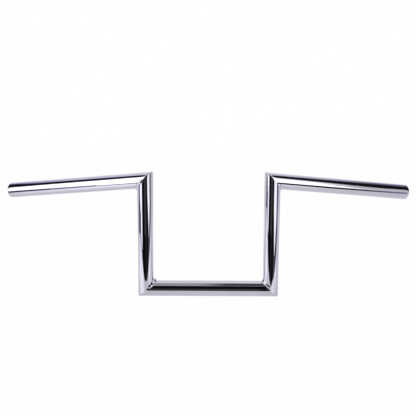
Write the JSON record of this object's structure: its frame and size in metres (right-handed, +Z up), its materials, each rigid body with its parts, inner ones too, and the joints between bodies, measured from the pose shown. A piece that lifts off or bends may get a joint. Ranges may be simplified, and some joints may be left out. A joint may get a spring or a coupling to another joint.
{
  "type": "motorcycle handlebar",
  "caption": "Chromed z-bar handlebar of mitred and welded round tube: a straight clamp section, upright risers and grip ends that sweep back and droop a little.",
  "frame": {"origin": "middle of the clamp tube, on its axis", "axes": "+X along the clamp tube to the right as seen from the front of the bar, +Y back towards the rider, +Z up along the risers"},
  "size_m": [0.6812, 0.1693, 0.2081],
  "materials": {
    "chrome": "polished decorative chrome plating on steel"
  },
  "bodies": {
    "root": {"clamp_tube": "chrome", "left_riser_tube": "chrome", "right_riser_tube": "chrome", "left_grip_tube": "chrome", "right_grip_tube": "chrome", "lower_left_weld": "chrome", "lower_right_weld": "chrome", "upper_left_weld": "chrome", "upper_right_weld": "chrome"}
  },
  "joints": []
}
